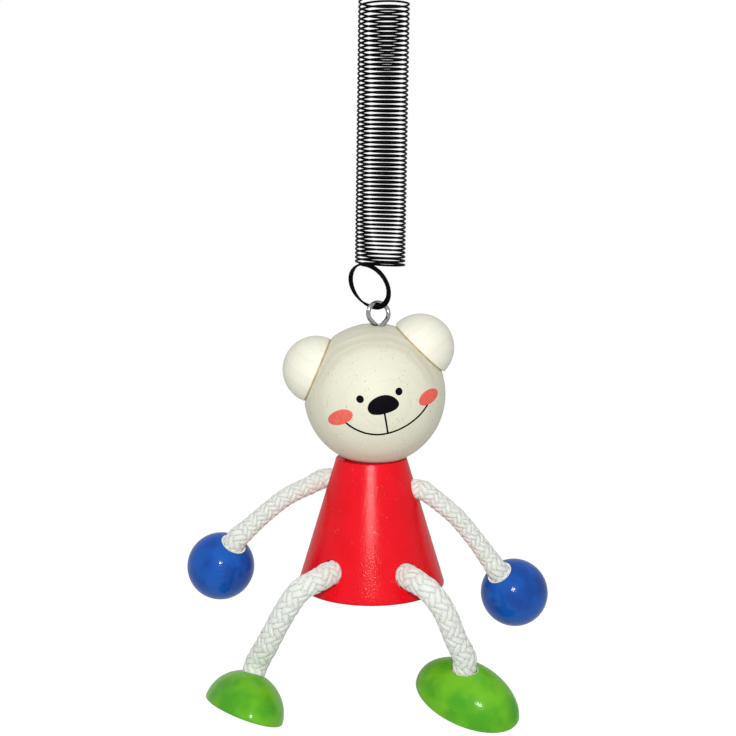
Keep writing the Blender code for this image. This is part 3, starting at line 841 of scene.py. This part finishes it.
def makeEar(side):
    # a ball cut off near its middle, its cut edge eased, and the glue that squeezed out under it
    name = "ear" + side.capitalize()
    out = over(head["earAngles"][side])
    seat = headMiddle + out * (head["diameter"] / 2 - head["earCuts"][side])
    centre = (seat + out * head["earStep"]) * mm
    wood = woodFinish(name + "Beech", woodLooks["ears"], centre, out, heart=(30.0, -16.0, 0.0), ringStep=3.2)
    radius = head["earDiameter"] / 2
    flat = head["gap"] - head["earStep"]
    ease = head["earEdge"]
    hole = head["earDowel"] / 2 + head["gap"]
    holeEnd = flat + head["earDowelDepth"]
    lowest = degrees(asin((flat + ease) / radius))
    rim = arc(radius, 90, lowest, 48)
    corner = arc(ease, lowest, -90, 6, (rim[-1][0] - ease * cos(radians(lowest)), flat + ease))
    profile = scaled(rim + corner + [(hole, flat), (hole, holeEnd), (0, holeEnd)])
    ear = turnedPiece(name, profile, 112, [wood], centre, aimed(out))
    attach(ear, "figure")
    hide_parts("ear_" + side)
    glue = woodFinish(name + "Glue", woodLooks["glue"], centre, out, ringStep=0.8)
    wide, thick = head["glueRadii"][side], head["gap"] / 2
    inside = wide - head["glueWidth"]
    bead = arc(thick * 0.9, 90, -90, 6, (wide, thick)) + [(inside, thick * 0.1), (inside, thick * 1.9)]
    ring = turnedPiece(name + "GlueRing", scaled(bead + bead[:1]), 96, [glue], seat * mm, aimed(out))
    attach(ring, "figure")


makeHead()
for side in head["earAngles"]:
    makeEar(side)
print("ears turned")


# Body
boreLook = {"steps": 64, "above": 6.0}


def boreCutter(name, finishes, radius, mouth, inward, depth, ease=0.0):
    # a bore from above its mouth to its depth, wider at the mouth by the ease
    above = boreLook["above"]
    upper = [(radius + ease + above, above), (radius, -ease)] if ease else [(radius, above)]
    profile = [(0, above)] + upper + [(radius, -depth), (0, -depth)]
    return turnedPiece(name, scaled(profile), boreLook["steps"], finishes, mouth * mm, aimed(-inward))


def makeCone():
    top = Vector(cone["top"])
    paint = paintFinish("redPaint", paintLooks["red"], (top - up * cone["paintMiddle"]) * mm)
    bare = bpy.data.materials["cutBeech"]
    edge = cone["edge"]
    lean = degrees(coneLean)
    upper = (coneRadius(cone["topEdge"]) - cone["topEdge"] / cos(coneLean), -cone["topEdge"])
    lower = (coneRadius(cone["height"] - edge) - edge / cos(coneLean), edge - cone["height"])
    # the sloping side in even steps, so that its faces are short
    ends = ((cone["topEdge"], upper), (edge, lower))
    a, b = (Vector((*arc(size, lean, lean, 1, at)[0], 0)) for size, at in ends)
    side = [tuple(a.lerp(b, i / 24)[:2]) for i in range(1, 24)]
    profile = [(0, 0)] + arc(cone["topEdge"], 90, lean, 6, upper) + side
    profile += arc(edge, lean, -90, 10, lower) + [(0, -cone["height"])]
    body = turnedPiece("bodyCone", scaled(profile), 192, [paint], top * mm)
    gap = cone["gap"]
    dishRadius = head["diameter"] / 2 + cone["dishGap"]
    dish = turnedPiece("dish", scaled(arc(dishRadius, 90, -90, 60)), 160, [paint], headMiddle * mm)
    neck = headMiddle - up * head["diameter"] / 2
    cutters = [dish, boreCutter("neckBore", [bare], head["neckDowel"] / 2 + gap, neck, -up,
                                head["neckDepth"] + gap)]
    for name, limb in cords.items():
        wide, deep = limb["diameter"] / 2 + gap, limb["bore"] + gap
        cutters.append(boreCutter(name + "Bore", [paint], wide, limb["mouth"], -limb["way"], deep))
    cutAway(body, cutters)
    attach(body, "figure")
    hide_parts("body_cone")
    print("body turned")


makeCone()


# Hands
hand = {"diameter": 16.8, "bareRim": 0.55, "rimStep": 0.25, "gap": 0.3}


def makeHand(side):
    limb = cords["armCord" + side.capitalize()]
    radius = hand["diameter"] / 2
    hole = limb["diameter"] / 2 + hand["gap"]
    height = sqrt(radius ** 2 - hole ** 2)
    holeEnd = height - limb["farBore"] - hand["gap"]
    rim = hole + hand["bareRim"]
    rimAngle = degrees(acos(rim / radius))
    rimHeight = sqrt(radius ** 2 - rim ** 2)
    profile = [(0, holeEnd), (hole, holeEnd), (hole, rimHeight - hand["rimStep"])]
    profile += arc(radius, rimAngle, -90, 84)
    aim = -limb["farWay"]
    centre = (limb["farMouth"] - aim * height) * mm
    paint = paintFinish("bluePaint" + side.capitalize(), paintLooks["blue"], centre, aimed(aim))
    finishes = [paint, bpy.data.materials["whiteBeech"]]
    ball = turnedPiece("hand" + side.capitalize(), scaled(profile), 144, finishes, centre, aimed(aim),
                       inner=(0, 1, 2), crease=30)
    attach(ball, "arm_" + side)
    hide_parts("hand_" + side)


# Feet
foot = {"length": 28.0, "width": 18.6, "height": 9.4, "edge": 0.7, "heel": 1.6, "gap": 0.3, "bareRim": 0.35}


def makeFoot(side):
    limb = cords["legCord" + side.capitalize()]
    toe, high = footAxes(limb)
    mouth = limb["farMouth"]
    mouthHeight = foot["height"] * sqrt(1 - (2 * foot["heel"] / foot["length"]) ** 2)
    middle = mouth + toe * foot["heel"] - high * mouthHeight
    edgeHeight = foot["edge"] / foot["height"]
    low = degrees(asin(edgeHeight))
    rim = arc(1, 90, low, 56)
    inset = 2 * foot["edge"] / foot["width"]
    wide = rim[-1][0]
    turns = [radians(90 * i / 6) for i in range(1, 7)]
    corner = [(wide - inset * (1 - cos(a)), edgeHeight * (1 - sin(a))) for a in turns]
    profile = rim + corner + [(wide * 0.7, 0), (wide * 0.35, 0), (0, 0)]
    turn = aimed(high, toe)
    paint = paintFinish("greenPaint" + side.capitalize(), paintLooks["green"], middle * mm, turn)
    stretch = [value * mm for value in (foot["length"] / 2, foot["width"] / 2, foot["height"])]
    shoe = turnedPiece("foot" + side.capitalize(), profile, 160, [paint], middle * mm, turn, stretch)
    hole = limb["diameter"] / 2 + foot["gap"]
    cutAway(shoe, [boreCutter("footBore", [bpy.data.materials["cutBeech"]], hole, mouth, -high,
                              limb["farBore"] + foot["gap"], foot["bareRim"])])
    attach(shoe, "leg_" + side)
    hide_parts("foot_" + side)


for side in ("left", "right"):
    makeHand(side)
    makeFoot(side)
print("hands and feet turned")


# Printed face: places in millimetres on the plane of the print, u to the right and v up
face = {
    "turned": 7.5, "raised": -7.0, "rolled": 11.5, "film": 0.04, "skirt": -0.05, "line": 0.42,
    "eyes": ((-5.33, 4.15, 0.86, 0.88), (3.91, 4.05, 0.86, 0.88)),
    "nose": ((-4.08, 1.85), (-3.55, 2.85), (-2.62, 3.55), (-1.46, 4.0), (0.1, 4.13), (1.58, 3.72),
             (2.81, 2.73), (3.36, 1.45), (2.76, 0.45), (1.32, -0.04), (-0.28, -0.2), (-1.83, -0.19),
             (-3.28, 0.2), (-3.95, 0.9)),
    "lip": ((-0.47, 0.0), (-0.48, -5.1)),
    "smile": ((-9.45, -1.28), (-8.38, -2.41), (-7.17, -3.34), (-5.49, -4.31), (-2.95, -5.13), (-0.69, -5.3),
              (1.77, -5.1), (4.37, -4.52), (6.85, -3.6), (8.61, -2.7), (10.28, -1.5)),
    "cheeks": (((-10.49, 0.25), (-13.23, -0.23), (-10.03, 2.12), (-7.70, 0.54), (-11.14, -1.69)),
               ((10.98, 0.28), (8.59, 0.88), (12.13, 1.83), (13.59, -0.51), (9.69, -1.29))),
}


def printAxes():
    roll, turn, tilt = (radians(face[key]) for key in ("rolled", "turned", "raised"))
    unroll = Matrix(((cos(roll), 0, -sin(roll)), (0, 1, 0), (sin(roll), 0, cos(roll))))
    ahead = unroll @ Vector((sin(turn) * cos(tilt), -cos(turn) * cos(tilt), sin(tilt)))
    right = unroll @ Vector((cos(turn), sin(turn), 0))
    high = unroll @ Vector((-sin(turn) * sin(tilt), cos(turn) * sin(tilt), cos(tilt)))
    return right, high, ahead


def onBall(u, v, lift):
    right, high, ahead = printAxes()
    radius = head["diameter"] / 2
    way = right * u + high * v + ahead * sqrt(radius ** 2 - u * u - v * v)
    return (headMiddle + way.normalized() * (radius + lift)) * mm


def closedCurve(points, count):
    # a smooth ring through the points
    ring = []
    total = len(points)
    for i in range(count):
        place = i / count * total
        k, t = int(place), place - int(place)
        p = [Vector(points[(k + j - 1) % total]) for j in range(4)]
        ring.append((p[1] * 2 + (p[2] - p[0]) * t + (p[0] * 2 - p[1] * 5 + p[2] * 4 - p[3]) * t ** 2
                     + (p[1] * 3 - p[0] - p[2] * 3 + p[3]) * t ** 3) / 2)
    return ring


def addPatch(store, outline):
    # a film on the ball inside the outline, with a skirt into the wood
    centre = sum(outline, Vector((0, 0))) / len(outline)
    rings, count = 8, len(outline)
    first = len(store["points"])
    store["points"].append(tuple(onBall(*centre, face["film"])))
    for r in range(1, rings + 2):
        share = min(r, rings) / rings
        lift = face["film" if r <= rings else "skirt"]
        store["points"] += [tuple(onBall(*centre.lerp(point, share), lift)) for point in outline]
    for k in range(count):
        after = (k + 1) % count
        store["faces"].append((first, first + 1 + k, first + 1 + after))
        for r in range(rings):
            inner, outer = first + 1 + r * count, first + 1 + (r + 1) * count
            store["faces"].append((inner + k, outer + k, outer + after, inner + after))
    store["finishes"] += [0] * (count * (rings + 1))


def addStroke(store, points, width):
    # a drawn line with round ends
    line = [Vector((*point, 0)) for point in points]
    way = [(line[1] - line[0]).normalized(), (line[-1] - line[-2]).normalized()]
    fine = evenPoints(smoothLine(line, *way), 72) if len(line) > 2 else evenPoints(line, 24)
    half = width / 2
    rows = []
    for i, point in enumerate(fine):
        ahead = (fine[min(i + 1, len(fine) - 1)] - fine[max(i - 1, 0)]).normalized()
        side = Vector((-ahead.y, ahead.x, 0))
        rows.append((point, side, half))
    back, ahead = (fine[0] - fine[1]).normalized(), (fine[-1] - fine[-2]).normalized()
    for k in range(1, 5):
        reach, wide = half * sin(radians(90 * k / 5)), half * cos(radians(90 * k / 5))
        rows.insert(0, (fine[0] + back * reach, rows[0][1], wide))
        rows.append((fine[-1] + ahead * reach, rows[-1][1], wide))
    first = len(store["points"])
    film, skirt = face["film"], face["skirt"]
    for point, side, reach in rows:
        for share, lift in ((-1, skirt), (-1, film), (0, film), (1, film), (1, skirt)):
            spot = point + side * share * reach
            store["points"].append(tuple(onBall(spot.x, spot.y, lift)))
    for i in range(len(rows) - 1):
        for k in range(4):
            a = first + i * 5 + k
            store["faces"].append((a, a + 5, a + 6, a + 1))
            store["finishes"].append(0)


def makeFace():
    dark = newStore()
    turns = [a * pi / 24 for a in range(48)]
    for u, v, wide, high in face["eyes"]:
        addPatch(dark, [Vector((u + wide * cos(turn), v + high * sin(turn))) for turn in turns])
    addPatch(dark, closedCurve(face["nose"], 72))
    addStroke(dark, face["lip"], face["line"])
    addStroke(dark, face["smile"], face["line"])
    rosy = newStore()
    for centre, *rim in face["cheeks"]:
        spots = [Vector(spot) - Vector(centre) for spot in rim]
        outline = []
        for a in range(60):
            # four quarter ellipses through the measured tips
            angle = a * 6
            k = angle // 90
            t = radians(angle - 90 * k)
            outline.append(Vector(centre) + spots[k % 4] * cos(t) + spots[(k + 1) % 4] * sin(t))
        addPatch(rosy, outline)
    for name, store, finish in (("faceLines", dark, blackPrint), ("cheeks", rosy, redPrint)):
        piece = makePiece(name, store, [finish], 60)
        faceOutwards(piece, printAxes()[2])
        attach(piece, "figure")
    print("face printed")


makeFace()


# Dowels, which keep their solids
dowelMiddles = {"neck_dowel": ((0.1, 1.8, -123.009), up),
                "ear_dowel_left": ((-13.948, 1.8, -99.575), over(67.1)),
                "ear_dowel_right": ((11.061, 1.8, -94.199), over(-44.1))}
for name, (middle, grain) in dowelMiddles.items():
    wood = woodFinish(name + "_wood", woodLooks["dowel"], Vector(middle) * mm, grain, heart=(9.0, 4.0, 0.0),
                      ringStep=1.4)
    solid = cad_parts[name]
    solid.data.materials.clear()
    solid.data.materials.append(wood)
print("dowels finished")


# Room: pale floor, white backdrop, one small lamp above the camera and an even fill
room = {"floor": -0.34, "floorSize": 6.0, "floorTone": 0.86, "floorLift": 0.69, "fill": 0.42,
        "lampPlace": (-0.010, -0.291, 0.0), "lampAim": (0, 0, -0.12), "lampSize": 0.045, "lampPower": 0.66}


def clearedTree(owner):
    owner.use_nodes = True
    owner.node_tree.nodes.clear()
    return owner.node_tree


def seenDirectly(tree):
    # 1 for what the camera sees itself, in gloss or through glass, so that the room is white there
    rays = node(tree, "LightPath").outputs
    seen = calc(tree, "MAXIMUM", rays["Is Camera Ray"], rays["Is Glossy Ray"])
    return calc(tree, "MAXIMUM", seen, rays["Is Transmission Ray"])


def makeRoom():
    store = newStore()
    half = room["floorSize"] / 2
    store["points"] = [(x * half, y * half, room["floor"]) for x, y in ((-1, -1), (1, -1), (1, 1), (-1, 1))]
    store["faces"] = [(0, 1, 2, 3)]
    store["finishes"] = [0]
    paper = bpy.data.materials.new("paleFloor")
    tree = clearedTree(paper)
    matt = node(tree, "BsdfDiffuse", {"Color": (room["floorTone"],) * 3 + (1,)})
    lift = product(tree, seenDirectly(tree), room["floorLift"])
    lit = node(tree, "Emission", {"Color": white, "Strength": lift})
    both = node(tree, "AddShader", {0: matt.outputs[0], 1: lit.outputs[0]})
    node(tree, "OutputMaterial", {"Surface": both.outputs[0]})
    floor = makePiece("floor", store, [paper])

    world = bpy.data.worlds.new("room")
    bpy.context.scene.world = world
    tree = clearedTree(world)
    seen = node(tree, "Background", {"Color": white, "Strength": 1.0})
    fill = node(tree, "Background", {"Color": white, "Strength": room["fill"]})
    both = node(tree, "MixShader", {0: seenDirectly(tree), 1: fill.outputs[0], 2: seen.outputs[0]})
    node(tree, "OutputWorld", {"Surface": both.outputs[0]})

    lamp = bpy.data.lights.new("lamp", "AREA")
    lamp.shape = "DISK"
    lamp.size = room["lampSize"]
    lamp.energy = room["lampPower"]
    holder = bpy.data.objects.new("lamp", lamp)
    holder.location = room["lampPlace"]
    way = Vector(room["lampAim"]) - Vector(room["lampPlace"])
    holder.rotation_euler = way.to_track_quat("-Z", "Y").to_euler()
    addToScene(holder)
    print("room set")


makeRoom()
